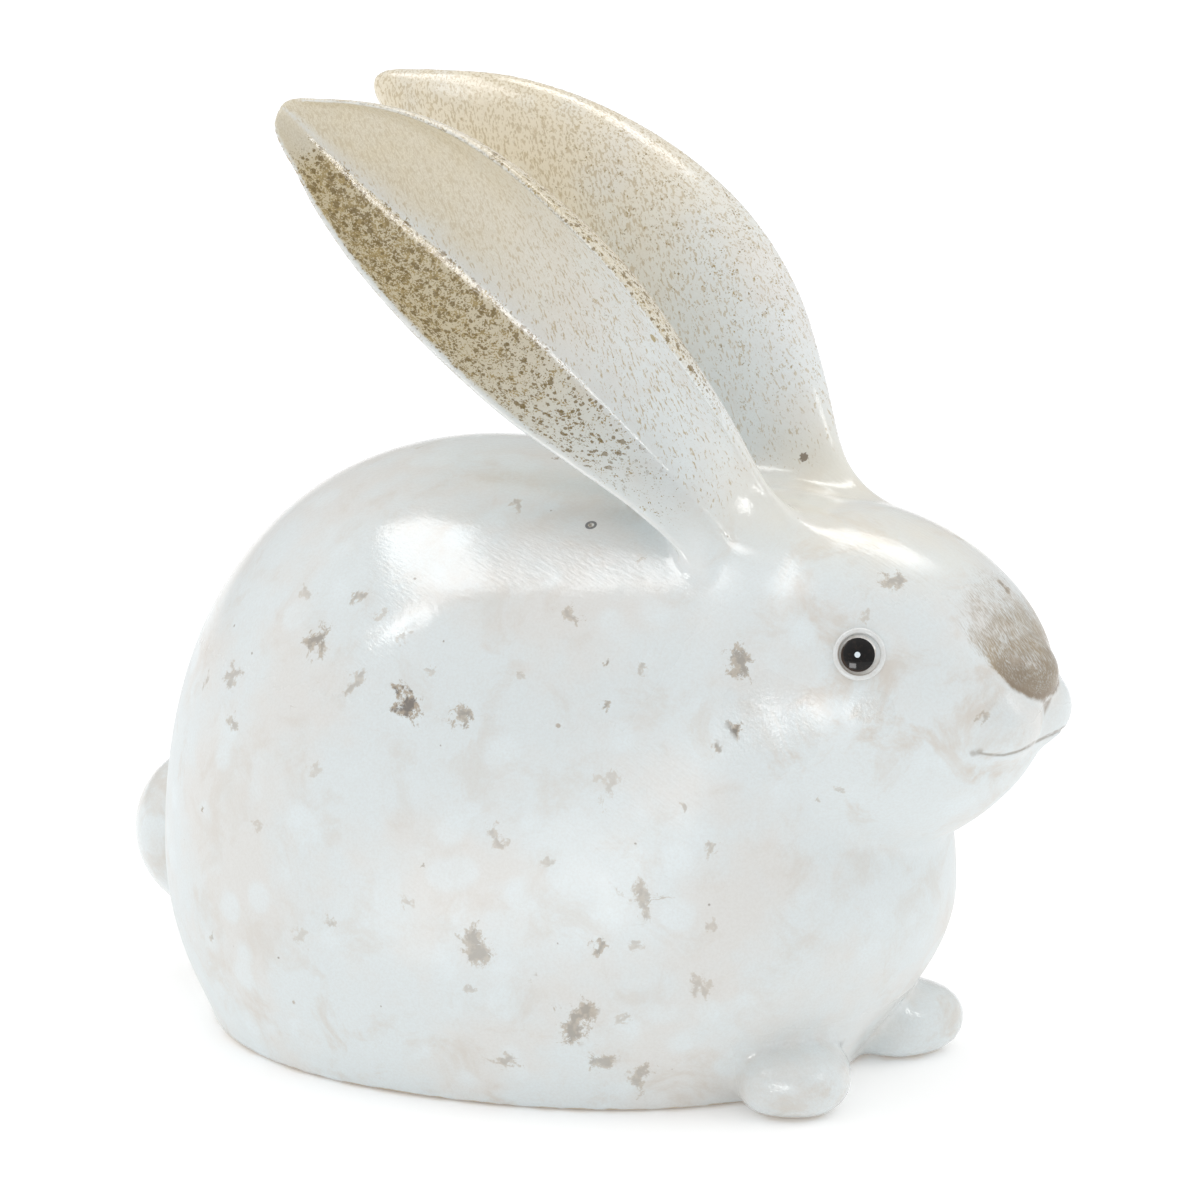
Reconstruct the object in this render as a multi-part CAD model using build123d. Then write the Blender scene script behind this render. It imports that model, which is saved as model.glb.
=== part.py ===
from build123d import *
import math
import os

# A sitting rabbit figurine in glazed earthenware, about 282 mm long and 256 mm high.
# +X is forward, towards the nose, +Y is the rabbit's left and +Z is up. The origin is on the ground,
# in the middle of the flat foot. Torso and head are one hollow casting with a vent hole in its floor.
# Ears, tail, paws and eyes are separate pieces, luted or set into shallow seats in the casting.

# Driving dimensions, in millimetres and degrees

# Casting: wall, floor and the depth of the seats that the luted pieces sit in
wall = 6
floor_thickness = 7
seat_depth = 2.5
vent_radius = 9
vent_x = -40

# Torso: an egg on end, blunter behind than in front
torso_middle_x = -28
torso_rear_reach = 95
torso_front_reach = 131
torso_half_width = 85
torso_height = 162
torso_widest_height = 49
foot_rounding = 3
foot_share = 0.865
foot_flare_share = 0.925
flank_rise_shares = (0.30, 0.55)
shoulder_share = 0.705
crown_share = 0.515

# Head: an egg on its side, its blunt end inside the torso
head_behind_torso_front = 28.5
head_below_torso_top = 49.5
head_front_reach = 60.5
head_back_reach = 84.5
head_half_width = 46
head_upper_height = 45
head_lower_height = 50.6
snout_blunt_share = 0.52
snout_long_share = 0.47
nape_blunt_share = 0.55
nape_long_share = 0.55

# Muzzle: two lip pads and the nose between and above them, set back from the snout's end
lip_set_back = 9.5
lip_out = 8.6
lip_drop = 5
lip_radii = (12, 11.5, 10.8)
nose_set_back = 13
nose_rise = 6
nose_radii = (16, 12.5, 11)

# Ears: long scoops that lean back, open outwards
ear_root_set_back = 17.5
ear_root_out = 27
ear_root_rise = 34.5
ear_lean = 37.2
ear_length = 171.5
ear_width = 56
ear_depth = 21
ear_wall = 4
ear_rim = 2.4
bowl_fullness_share = 0.5

# Each row is one cross-section of the ear, from the root to just short of the tip, as shares:
# place along the length; lower rim across and in; upper rim across and in; valley across and in
# (all across shares of the width, all in shares of the depth); back wall as a share of the ear's wall;
# fullness of the back
ear_section_shares = (
    (-0.070, -0.196, -0.43, 0.250, 0.43, 0.018, 0.095, 3.00, 0.56),
    (0.035, -0.098, -0.45, 0.339, 0.24, 0.036, 0.143, 2.75, 0.58),
    (0.140, -0.089, -0.52, 0.500, -0.05, 0.036, 0.238, 2.25, 0.62),
    (0.262, -0.143, -0.57, 0.652, -0.38, 0.036, 0.333, 1.75, 0.64),
    (0.397, -0.214, -0.57, 0.750, -0.50, 0.036, 0.405, 1.38, 0.66),
    (0.525, -0.241, -0.55, 0.759, -0.48, 0.027, 0.429, 1.12, 0.66),
    (0.653, -0.250, -0.48, 0.705, -0.33, 0.018, 0.405, 1.00, 0.64),
    (0.770, -0.232, -0.38, 0.589, -0.17, 0.000, 0.333, 1.00, 0.62),
    (0.863, -0.193, -0.26, 0.438, -0.05, -0.018, 0.286, 0.90, 0.60),
    (0.933, -0.145, -0.14, 0.277, 0.05, -0.018, 0.238, 0.80, 0.58),
    (0.980, -0.112, -0.05, 0.116, 0.10, -0.010, 0.190, 0.70, 0.58),
    (1.000, -0.062, 0.05, 0.036, 0.10, -0.012, 0.150, 0.35, 0.60),
)

# Tail and front paws: pellets pressed on
tail_sunk = 3
tail_height = 41
tail_radii = (24, 22, 24)
paw_set_back = 11.3
paw_out = 34
paw_height = 8
paw_radii = (20, 14, 13)

# Eyes: a dome in a ring, an enamel pupil on the dome and a white dot on the pupil.
# The eye's place is a share of the way along the snout's curve and an angle up round the head.
eye_along_share = 0.678
eye_round = 23.5
eye_turn = 63
eye_tilt = 20
eye_ring_radius = 6.1
eye_ring_wire = 0.75
eyeball_radius = 5.8
eyeball_curve = 9
eyeball_rise = 1.1
eyeball_root = 3
pupil_radius = 4.4
pupil_thickness = 0.5
pupil_offset = (0.2, 0.4)
highlight_radius = 0.75
highlight_thickness = 0.3
highlight_offset = (0.3, 0.5)

# Places that follow from the sizes above
head_middle_x = torso_middle_x + torso_front_reach - head_behind_torso_front
head_middle_z = torso_height - head_below_torso_top
snout_end_x = head_middle_x + head_front_reach
lip_centre = (snout_end_x - lip_set_back, lip_out, head_middle_z - lip_drop)
nose_centre = (snout_end_x - nose_set_back, 0, head_middle_z + nose_rise)
ear_root = (head_middle_x - ear_root_set_back, ear_root_out, head_middle_z + ear_root_rise)
tail_centre = (torso_middle_x - torso_rear_reach + tail_sunk, 0, tail_height)
foot_front_x = torso_middle_x + torso_front_reach * foot_share
paw_centre = (foot_front_x - paw_set_back, paw_out, paw_height)


def ellipsoid(centre, radii, poles_lie=False):
    """A ball stretched to three radii and moved to its centre. Its poles stand up or lie along X."""
    ball = Sphere(radii[0])
    if poles_lie:
        ball = Rot(0, 90, 0) * ball
    stretched = scale(ball, by=(1, radii[1] / radii[0], radii[2] / radii[0]))
    return Pos(*centre) * stretched


def on_other_side(place):
    """The same place on the rabbit's right side."""
    return (place[0], -place[1], place[2])


def half_turned(outline, axis, start, stretch):
    """Half a turn of a flat outline about an axis, stretched afterwards."""
    half = revolve(Rot(*start) * outline, axis, 180)
    return scale(half, by=stretch)


def torso_form(inset, floor_height):
    """The torso, inset evenly, standing on a flat floor at the given height."""
    radius = torso_half_width - inset
    top = torso_height - inset
    foot = torso_half_width * foot_share - inset
    flare = torso_half_width * foot_flare_share - inset
    rise = torso_widest_height - floor_height
    shoulder = top - torso_widest_height
    foot_edge = (foot - foot_rounding, floor_height)
    foot_side = (foot, floor_height + foot_rounding)
    widest = (radius, torso_widest_height)
    lower = Bezier(
        foot_side,
        (flare, floor_height + rise * flank_rise_shares[0]),
        (radius, floor_height + rise * flank_rise_shares[1]),
        widest,
    )
    upper = Bezier(
        widest,
        (radius, torso_widest_height + shoulder * shoulder_share),
        (radius * crown_share, top),
        (0, top),
    )
    edges = [
        Line((0, floor_height), foot_edge),
        Bezier(foot_edge, (foot, floor_height), foot_side),
        lower,
        upper,
        Line((0, top), (0, floor_height)),
    ]
    outline = Plane.XZ * make_face(Curve() + edges)
    front_stretch = (torso_front_reach - inset) / radius
    rear_stretch = (torso_rear_reach - inset) / radius
    front = half_turned(outline, Axis.Z, (0, 0, -90), (front_stretch, 1, 1))
    rear = half_turned(outline, Axis.Z, (0, 0, 90), (rear_stretch, 1, 1))
    return Pos(torso_middle_x, 0, 0) * (front + rear)


def snout_points(inset):
    """The curve from the snout's end to the head's widest ring, as distances along and out."""
    radius = head_half_width - inset
    front = head_front_reach - inset
    return [
        (front, 0),
        (front, radius * snout_blunt_share),
        (front * snout_long_share, radius),
        (0, radius),
    ]


def eye_place():
    """The point on the head's skin that the left eye is centred on."""
    on_snout = Bezier(*snout_points(0)).position_at(eye_along_share, PositionMode.PARAMETER)
    along, out = on_snout.X, on_snout.Y
    angle = math.radians(eye_round)
    rise = out * math.sin(angle) * head_upper_height / head_half_width
    return (head_middle_x + along, out * math.cos(angle), head_middle_z + rise)


def head_form(inset):
    """The head, inset evenly."""
    radius = head_half_width - inset
    front = head_front_reach - inset
    back = head_back_reach - inset
    snout = Bezier(*snout_points(inset))
    nape = Bezier(
        (0, radius),
        (-back * nape_long_share, radius),
        (-back, radius * nape_blunt_share),
        (-back, 0),
    )
    outline = make_face(Curve() + [snout, nape, Line((-back, 0), (front, 0))])
    upper_stretch = (head_upper_height - inset) / radius
    lower_stretch = (head_lower_height - inset) / radius
    upper = half_turned(outline, Axis.X, (0, 0, 0), (1, 1, upper_stretch))
    lower = half_turned(outline, Axis.X, (180, 0, 0), (1, 1, lower_stretch))
    return Pos(head_middle_x, 0, head_middle_z) * (upper + lower)


def ear_section(shares):
    """One closed cross-section of the left ear."""
    (along, low_across, low_in, high_across, high_in, valley_across, valley_in,
     back_share, full) = shares
    lean = math.radians(ear_lean)
    ahead = Vector(-math.cos(lean), 0, math.sin(lean))
    across = Vector(math.sin(lean), 0, math.cos(lean))
    inward = Vector(0, -1, 0)
    origin = Vector(*ear_root) + ahead * (ear_length * along)

    def place(point):
        return origin + across * point[0] + inward * point[1]

    low = (ear_width * low_across, ear_depth * low_in)
    high = (ear_width * high_across, ear_depth * high_in)
    valley = (ear_width * valley_across, ear_depth * valley_in)
    back = (valley[0], valley[1] + ear_wall * back_share)
    rim = ear_rim * min(1, back_share)
    low_inner = (low[0] + rim, low[1])
    high_inner = (high[0] - rim, high[1])

    def quarter(edge, deep, fullness):
        """From a rim, straight in at first, to the deepest point, level there."""
        return [
            edge,
            (edge[0], edge[1] + (deep[1] - edge[1]) * fullness),
            (deep[0] + (edge[0] - deep[0]) * fullness, deep[1]),
            deep,
        ]

    def lip(start, end):
        """The rounded edge of the rim."""
        out = rim / 2
        return [start, (start[0], start[1] - out), (end[0], end[1] - out), end]

    runs = [
        quarter(low, back, full),
        quarter(high, back, full)[::-1],
        lip(high, high_inner),
        quarter(high_inner, valley, bowl_fullness_share),
        quarter(low_inner, valley, bowl_fullness_share)[::-1],
        lip(low_inner, low),
    ]
    edges = [Edge.make_bezier(*[place(point) for point in run]) for run in runs]
    return Face(Wire(edges))


def ear_form():
    """The whole left ear, its root still inside the head."""
    return loft([ear_section(shares) for shares in ear_section_shares])


def eye_pieces():
    """The left eye's ring, ball, pupil and highlight, each cut to its neighbours."""
    turn = Rot(0, 0, eye_turn) * Rot(0, 90 - eye_tilt, 0)
    frame = Pos(*eye_place()) * turn
    curve_centre = Pos(0, 0, eyeball_rise - eyeball_curve)
    reach = 2 * eyeball_curve
    ball_surface = curve_centre * Sphere(eyeball_curve)
    pupil_surface = curve_centre * Sphere(eyeball_curve + pupil_thickness)
    dot_surface = curve_centre * Sphere(eyeball_curve + pupil_thickness + highlight_thickness)

    def column(radius, offset, height):
        """A round column from the eye's plane outwards."""
        return Pos(*offset, 0) * Cylinder(radius, height, align=(Align.CENTER, Align.CENTER, Align.MIN))

    ring = Torus(eye_ring_radius, eye_ring_wire)
    root = Pos(0, 0, -eyeball_root) * column(eyeball_radius, (0, 0), reach)
    ball = (root & ball_surface) - ring
    pupil = (column(pupil_radius, pupil_offset, reach) & pupil_surface) - ball_surface
    dot = (column(highlight_radius, highlight_offset, reach) & dot_surface) - pupil_surface
    return {
        "eye_ring": frame * ring,
        "eyeball": frame * ball,
        "pupil": frame * pupil,
        "eye_highlight": frame * dot,
    }


def build():
    """All the pieces by name, cut so that neighbours meet face to face."""
    torso = torso_form(0, 0)
    head = head_form(0)
    seats = torso_form(seat_depth, 0) + head_form(seat_depth)
    underground = Pos(*paw_centre[:2], -paw_radii[2]) * Box(*[2 * paw_radii[0]] * 2, 2 * paw_radii[2])

    left = {
        "ear": ear_form() - seats,
        "front_paw": ellipsoid(paw_centre, paw_radii) - underground - torso_form(seat_depth, 0),
    }
    left.update(eye_pieces())
    tail = ellipsoid(tail_centre, tail_radii, poles_lie=True) - torso_form(seat_depth, 0)

    muzzle = ellipsoid(nose_centre, nose_radii)
    muzzle += ellipsoid(lip_centre, lip_radii) + ellipsoid(on_other_side(lip_centre), lip_radii)
    hollow = torso_form(wall, floor_thickness) + head_form(wall)
    vent = Pos(vent_x, 0, 0) * Cylinder(vent_radius, 4 * floor_thickness)
    casting = torso + head + muzzle - hollow - vent
    pieces = {"tail": tail}
    for name, piece in left.items():
        pieces["left_" + name] = piece
        pieces["right_" + name] = mirror(piece, Plane.XZ)
    for piece in pieces.values():
        casting -= piece
    pieces["body_casting"] = casting
    return pieces


os.makedirs("parts", exist_ok=True)
for name, piece in build().items():
    export_step(piece, os.path.join("parts", name + ".step"))
    print(name, len(piece.solids()), round(piece.volume), piece.is_valid)
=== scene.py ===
import math
import bmesh
import bpy
import numpy as np
import openvdb as vdb
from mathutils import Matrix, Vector
from mathutils.bvhtree import BVHTree
from mathutils.kdtree import KDTree


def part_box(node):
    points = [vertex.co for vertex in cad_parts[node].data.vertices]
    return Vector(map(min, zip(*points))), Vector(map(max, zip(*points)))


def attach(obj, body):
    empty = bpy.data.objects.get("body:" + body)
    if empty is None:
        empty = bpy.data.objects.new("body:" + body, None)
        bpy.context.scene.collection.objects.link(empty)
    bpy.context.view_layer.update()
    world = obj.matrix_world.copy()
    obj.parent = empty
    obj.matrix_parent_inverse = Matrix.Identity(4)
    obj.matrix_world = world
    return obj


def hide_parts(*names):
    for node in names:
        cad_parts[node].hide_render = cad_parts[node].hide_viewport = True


# The figurine's glazed skin, built over the fixed frame. The clay forms are the same eggs, scoops and
# pellets as the solids', in millimetres. They are turned into distance fields, run softly together as
# wet clay is when it is luted and sponged, and meshed again as one piece for each part of the figurine.

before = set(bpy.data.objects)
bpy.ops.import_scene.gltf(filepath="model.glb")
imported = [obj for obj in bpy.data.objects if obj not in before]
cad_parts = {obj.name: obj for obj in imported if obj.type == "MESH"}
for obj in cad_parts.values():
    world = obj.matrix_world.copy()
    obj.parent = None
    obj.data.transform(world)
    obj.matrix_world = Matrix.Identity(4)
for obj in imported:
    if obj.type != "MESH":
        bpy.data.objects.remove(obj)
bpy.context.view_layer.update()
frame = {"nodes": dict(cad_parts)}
nodes = frame["nodes"]
MM = 0.001

# Sizes of the clay forms, in millimetres

wall = 6
floor_thickness = 7
vent_radius = 9
vent_x = -40
vent_middle = 4
vent_half_height = 8
vent_margin = 14

torso_middle_x = -28
torso_rear_reach = 95
torso_front_reach = 131
torso_half_width = 85
torso_height = 162
torso_widest_height = 49
foot_rounding = 3
foot_share = 0.865
foot_flare_share = 0.925
flank_rise_shares = (0.30, 0.55)
shoulder_share = 0.705
crown_share = 0.515

head_middle_x = 74.5
head_middle_z = 112.5
head_front_reach = 60.5
head_back_reach = 84.5
head_half_width = 46
head_upper_height = 45
head_lower_height = 50.6
snout_blunt_share = 0.52
snout_long_share = 0.47
nape_share = 0.55

lip_centre = (125.5, 8.6, 107.5)
lip_radii = (12, 11.5, 10.8)
nose_centre = (122, 0, 118.5)
nose_radii = (16, 12.5, 11)
tail_centre = (-120, 0, 41)
tail_radii = (24, 22, 24)
paw_centre = (78, 30.2, 9)
paw_radii = (15.4, 16.8, 9.9)
paw_turn = math.radians(-24)
paw_squareness = 2.35
foot_front_pull = 0.085
foot_front_rise = 52

ear_root = (57, 27, 147)
ear_lean = math.radians(37.2)
ear_length = 171.5
ear_width = 56
ear_depth = 21
ear_wall = 4
ear_rim = 1.7
ear_rim_width_share = 0.3
bowl_fullness = 0.47
bowl_tip_fullness = 0.62
bowl_fullness_fade = (0.35, 0.85)

# Each row is one section of the ear: along the length; lower rim across and in; upper rim across and
# in; valley across and in; back wall as a share of the ear's wall; fullness of the back
ear_section_shares = (
    (-0.070, -0.196, -0.43, 0.250, 0.43, 0.018, 0.095, 3.00, 0.56),
    (0.035, -0.098, -0.45, 0.339, 0.24, 0.036, 0.143, 2.75, 0.58),
    (0.140, -0.089, -0.52, 0.500, -0.05, 0.036, 0.238, 2.25, 0.62),
    (0.262, -0.143, -0.57, 0.652, -0.38, 0.036, 0.333, 1.75, 0.64),
    (0.397, -0.214, -0.57, 0.750, -0.50, 0.036, 0.405, 1.38, 0.66),
    (0.525, -0.241, -0.55, 0.759, -0.48, 0.027, 0.429, 1.12, 0.66),
    (0.653, -0.250, -0.48, 0.705, -0.33, 0.018, 0.405, 1.00, 0.64),
    (0.770, -0.232, -0.38, 0.589, -0.17, 0.000, 0.333, 1.00, 0.62),
    (0.863, -0.193, -0.26, 0.438, -0.05, -0.018, 0.286, 0.90, 0.60),
    (0.933, -0.145, -0.14, 0.277, 0.05, -0.018, 0.238, 0.80, 0.58),
    (0.966, -0.126, -0.09, 0.190, 0.06, -0.008, 0.200, 0.80, 0.58),
    (0.988, -0.108, -0.04, 0.130, 0.07, 0.000, 0.160, 0.78, 0.58),
    (1.003, -0.084, 0.00, 0.086, 0.08, 0.002, 0.125, 0.70, 0.60),
    (1.012, -0.056, 0.04, 0.050, 0.09, 0.000, 0.105, 0.55, 0.60),
    (1.017, -0.026, 0.07, 0.018, 0.09, -0.004, 0.100, 0.35, 0.60),
)

# How softly the forms run into each other
neck_softness = 30
chin_softness = 3
chin_fade = (62, 98)
ear_softness = (10, 4)
ear_softness_fade = (22, 38)
tail_softness = 4.5
paw_softness = 2.6
cleft_softness = 0.8
nose_softness = 2.4
lip_softness = 3
hollow_softness = 8
skirt = 10
pellet_skirt = 7
root_depth = 4.5
groove_radius = 0.3
groove_softness = 0.9
groove_reach = 3

# How many points lie along and round the outlines, and the sizes of the fields' cells
pin_radius = 0.3
torso_counts = (60, 10, 50, 160)
torso_columns = 420
head_count = 110
head_columns = 320
ear_sections = 240
ear_wall_count = 44
ear_lip_count = 9
rough_cell = 2.5
skin_cell = 1.8
ear_cell = 0.7
face_cell = 0.5
cutter_cell = 2
hollow_cell = 4
vent_cell = 1
rough_reach = 40
ear_reach = 14
hollow_reach = 16

# The parts of the skin with smaller faces, their fading edge, and how near a surface a point lies on it
face_low = (98, -38, 84)
face_high = (141, 38, 138)
muzzle_low = (108, -27, 91)
muzzle_high = (141, 27, 130)
face_fade = 3
skin_near = 0.25

# The camera, as the photograph was taken, and how it sees a point

camera_turn = math.radians(30)
camera_tilt = math.radians(14.4)
camera_distance = 2100
camera_target = np.array((1.9, 0, 121.8))
photo_size = 1200
photo_focal = 7850
sensor_width = 36
lit_middle = (0, 0, 0.11)
to_right = np.array((math.cos(camera_turn), math.sin(camera_turn), 0))
to_camera = np.array((
    math.sin(camera_turn) * math.cos(camera_tilt),
    -math.cos(camera_turn) * math.cos(camera_tilt),
    math.sin(camera_tilt),
))
to_top = np.cross(to_camera, to_right)
camera_place = camera_target + camera_distance * to_camera


def near_side(points):
    return np.stack([points[:, 0], -np.abs(points[:, 1]), points[:, 2]], 1)


def photo_pixels(points):
    """Where the photograph shows each point, or the same point on the rabbit's other side."""
    near = near_side(points) - camera_target
    depth = camera_distance - near @ to_camera
    across = photo_size / 2 + photo_focal * (near @ to_right) / depth
    down = photo_size / 2 - photo_focal * (near @ to_top) / depth
    return across, down


# Outlines and closed forms

def ramp(value, start, end):
    """A smooth rise from 0 at start to 1 at end."""
    t = np.clip((value - start) / (end - start), 0, 1)
    return t * t * (3 - 2 * t)


def bezier(start, pull_a, pull_b, end, count):
    t = np.linspace(0, 1, count)[:, None]
    a, b, c, d = (np.array(point, float) for point in (start, pull_a, pull_b, end))
    return (1 - t) ** 3 * a + 3 * (1 - t) ** 2 * t * b + 3 * (1 - t) * t * t * c + t ** 3 * d


def closed_rings(rings):
    """Points, triangles and quads of a form through closed rings, with a fan at each end."""
    rows, columns = rings.shape[:2]
    index = np.arange(rows * columns).reshape(rows, columns)
    after = np.roll(index, -1, 1)
    quads = np.stack([index[:-1], index[1:], after[1:], after[:-1]], -1).reshape(-1, 4)
    points = np.vstack([rings.reshape(-1, 3), rings[0].mean(0), rings[-1].mean(0)])
    first = np.full(columns, rows * columns)
    triangles = np.vstack([
        np.stack([index[0], after[0], first], -1),
        np.stack([after[-1], index[-1], first + 1], -1),
    ])
    return points.astype(np.float32), triangles.astype(np.uint32), quads.astype(np.uint32)


def torso_rings(inset, ground):
    radius = torso_half_width - inset
    top = torso_height - inset
    foot = torso_half_width * foot_share - inset
    edge = foot - foot_rounding
    flare = torso_half_width * foot_flare_share - inset
    widest = torso_widest_height
    flank_low, flank_high = (ground + (widest - ground) * share for share in flank_rise_shares)
    shoulder = widest + (top - widest) * shoulder_share
    runs = (
        ((pin_radius, ground), (foot / 3, ground), (foot / 1.5, ground), (edge, ground)),
        ((edge, ground), (foot, ground), (foot, ground), (foot, ground + foot_rounding)),
        ((foot, ground + foot_rounding), (flare, flank_low), (radius, flank_high), (radius, widest)),
        ((radius, widest), (radius, shoulder), (radius * crown_share, top), (0, top)),
    )
    profile = np.vstack([bezier(*run, count)[:-1] for run, count in zip(runs, torso_counts)])
    turn = np.linspace(0, 2 * math.pi, torso_columns, endpoint=False)
    stretch = np.where(np.cos(turn) > 0, torso_front_reach - inset, torso_rear_reach - inset) / radius
    low = 1 - ramp(profile[:, 1:], 0, foot_front_rise)
    pull = 1 - foot_front_pull * low * np.maximum(np.cos(turn), 0) ** 2
    x = torso_middle_x + profile[:, :1] * stretch * pull * np.cos(turn)
    y = profile[:, :1] * np.sin(turn)
    z = np.repeat(profile[:, 1:], len(turn), 1)
    return np.stack([x, y, z], -1)


def head_rings(inset):
    radius = head_half_width - inset
    front = head_front_reach - inset
    back = head_back_reach - inset
    snout = bezier((front, 0), (front, radius * snout_blunt_share), (front * snout_long_share, radius),
                   (0, radius), head_count)
    nape = bezier((0, radius), (-back * nape_share, radius), (-back, radius * nape_share), (-back, 0),
                  head_count)
    profile = np.vstack([snout[1:], nape[1:-1]])
    turn = np.linspace(0, 2 * math.pi, head_columns, endpoint=False)
    rise = np.sin(turn)
    stretch = np.where(rise > 0, head_upper_height - inset, head_lower_height - inset) / radius
    x = np.repeat(head_middle_x + profile[:, :1], len(turn), 1)
    y = profile[:, 1:] * np.cos(turn)
    z = head_middle_z + profile[:, 1:] * rise * stretch
    return np.stack([x, y, z], -1)


ear_ahead = np.array((-math.cos(ear_lean), 0, math.sin(ear_lean)))
ear_across = np.array((math.sin(ear_lean), 0, math.cos(ear_lean)))


def ear_shares_at(along):
    """The shares of the left ear's section at places along it, on a smooth curve through the rows."""
    rows = np.array(ear_section_shares)
    slopes = np.gradient(rows[:, 1:], rows[:, 0], axis=0)
    i = np.clip(np.searchsorted(rows[:, 0], along) - 1, 0, len(rows) - 2)
    gap = (rows[i + 1, 0] - rows[i, 0])[:, None]
    t = (along[:, None] - rows[i, :1]) / gap
    return (
        (2 * t ** 3 - 3 * t ** 2 + 1) * rows[i, 1:] + (t ** 3 - 2 * t ** 2 + t) * gap * slopes[i]
        + (3 * t ** 2 - 2 * t ** 3) * rows[i + 1, 1:] + (t ** 3 - t ** 2) * gap * slopes[i + 1]
    )


def ear_rings():
    """Rings round the left ear, each up the outside of the scoop and down its inside."""
    places = np.linspace(ear_section_shares[0][0], ear_section_shares[-1][0], ear_sections)
    rings = []
    for along, shares in zip(places, ear_shares_at(places)):
        low, high, valley = shares[:6].reshape(3, 2) * (ear_width, ear_depth)
        back_share, full = shares[6:]
        back = (valley[0], valley[1] + ear_wall * back_share)
        rim = min(ear_rim * min(1, back_share), (high[0] - low[0]) * ear_rim_width_share)
        bowl = bowl_fullness + (bowl_tip_fullness - bowl_fullness) * ramp(along, *bowl_fullness_fade)

        def quarter(edge, deep, fullness):
            return bezier(edge, (edge[0], edge[1] + (deep[1] - edge[1]) * fullness),
                          (deep[0] + (edge[0] - deep[0]) * fullness, deep[1]), deep, ear_wall_count)

        def lip(start, end):
            return bezier(start, (start[0], start[1] - rim / 2), (end[0], end[1] - rim / 2), end,
                          ear_lip_count)

        inner_low = (low[0] + rim, low[1])
        inner_high = (high[0] - rim, high[1])
        section = np.vstack([
            quarter(low, back, full)[:-1],
            quarter(high, back, full)[:0:-1],
            lip(high, inner_high)[:-1],
            quarter(inner_high, valley, bowl)[:-1],
            quarter(inner_low, valley, bowl)[:0:-1],
            lip(inner_low, low)[:-1],
        ])
        start = np.array(ear_root) + ear_ahead * ear_length * along
        rings.append(start + section[:, :1] * ear_across - section[:, 1:] * np.array((0, 1, 0)))
    return np.array(rings)


# Distance fields on boxes of even cells

class Block:
    """A box of even cells, which holds distances to a surface: negative inside, in millimetres."""

    def __init__(self, low, high, cell):
        self.cell = cell
        self.start = np.round(np.array(low) / cell).astype(int)
        self.corner = tuple(int(i) for i in self.start)
        self.shape = tuple(np.round(np.array(high) / cell).astype(int) - self.start)

    def axis(self, number):
        return (self.start[number] + np.arange(self.shape[number])) * self.cell

    def grids(self):
        return np.meshgrid(*(self.axis(i).astype(np.float32) for i in range(3)), indexing="ij", sparse=True)

    def distances(self, rings, reach):
        """The distances to a closed form through rings, true as far as reach."""
        points, triangles, quads = closed_rings(rings)
        grid = vdb.FloatGrid.createLevelSetFromPolygons(
            points, triangles=triangles, quads=quads,
            transform=vdb.createLinearTransform(voxelSize=self.cell), halfWidth=reach / self.cell,
        )
        field = np.empty(self.shape, np.float32)
        grid.copyToArray(field, ijk=self.corner)
        return field

    def resampled(self, other, field):
        """Another block's field on this block's cells, by cubic interpolation."""
        for number in range(3):
            places = self.axis(number) / other.cell - other.start[number]
            base = np.floor(places).astype(int)
            t = (places - base).astype(np.float32)
            shares = (
                -0.5 * t + t ** 2 - 0.5 * t ** 3,
                1 - 2.5 * t ** 2 + 1.5 * t ** 3,
                0.5 * t + 2 * t ** 2 - 1.5 * t ** 3,
                -0.5 * t ** 2 + 0.5 * t ** 3,
            )
            broad = [1, 1, 1]
            broad[number] = -1
            last = field.shape[number] - 1
            field = sum(
                np.take(field, np.clip(base + step - 1, 0, last), number) * share.reshape(broad)
                for step, share in enumerate(shares)
            )
        return field

    def at(self, field, points):
        """The field's values at points, by linear interpolation."""
        places = points / self.cell - self.start
        base = np.clip(np.floor(places).astype(int), 0, np.array(self.shape) - 2)
        t = places - base
        total = 0
        for step in np.ndindex(2, 2, 2):
            total = total + np.prod(np.where(step, t, 1 - t), 1) * field[tuple((base + step).T)]
        return total

    def normals_at(self, field, points):
        step = self.cell * 0.75
        slopes = np.stack([
            self.at(field, points + side) - self.at(field, points - side) for side in np.eye(3) * step], 1)
        return slopes / np.maximum(np.linalg.norm(slopes, axis=1, keepdims=True), 1e-9)

    def surface(self, field):
        """The points and quads of the field's surface."""
        grid = vdb.FloatGrid(float(3 * self.cell))
        grid.copyFromArray(np.clip(field, -3 * self.cell, 3 * self.cell), ijk=self.corner)
        grid.transform = vdb.createLinearTransform(voxelSize=self.cell)
        grid.gridClass = vdb.GridClass.LEVEL_SET
        points, quads = grid.convertToQuads(isovalue=0.0)
        return points.astype(float), quads[:, ::-1].astype(int)


def blended(a, b, softness):
    """Two fields as one, run softly together over the given width."""
    overlap = np.maximum(softness - np.abs(a - b), 0) / softness
    return np.minimum(a, b) - overlap * overlap * softness / 4


def smoothed(field):
    """The field with each cell evened out with its neighbours."""
    for number in range(3):
        count = field.shape[number]
        padded = field.take(np.clip(range(-1, count + 1), 0, count - 1), number)
        sides = padded.take(range(0, count), number) + padded.take(range(2, count + 2), number)
        field = field / 2 + sides / 4
    return field


def ball_distances(block, centre, radii, power=2, turn=0):
    """The distances to a ball stretched to three radii, squarer with a higher power."""
    x, y, z = (v - c for v, c in zip(block.grids(), centre))
    x, y = x * math.cos(turn) + y * math.sin(turn), y * math.cos(turn) - x * math.sin(turn)
    parts = [np.abs(v) / r for v, r in zip((x, y, z), radii)]
    size = sum(p ** power for p in parts) ** (1 / power)
    steep = np.sqrt(sum((p ** (power - 1) / r) ** 2 for p, r in zip(parts, radii)))
    return ((size - 1) * size ** (power - 1) / np.maximum(steep, 1e-6)).astype(np.float32)


def other_side(place):
    return (place[0], -place[1], place[2])


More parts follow.
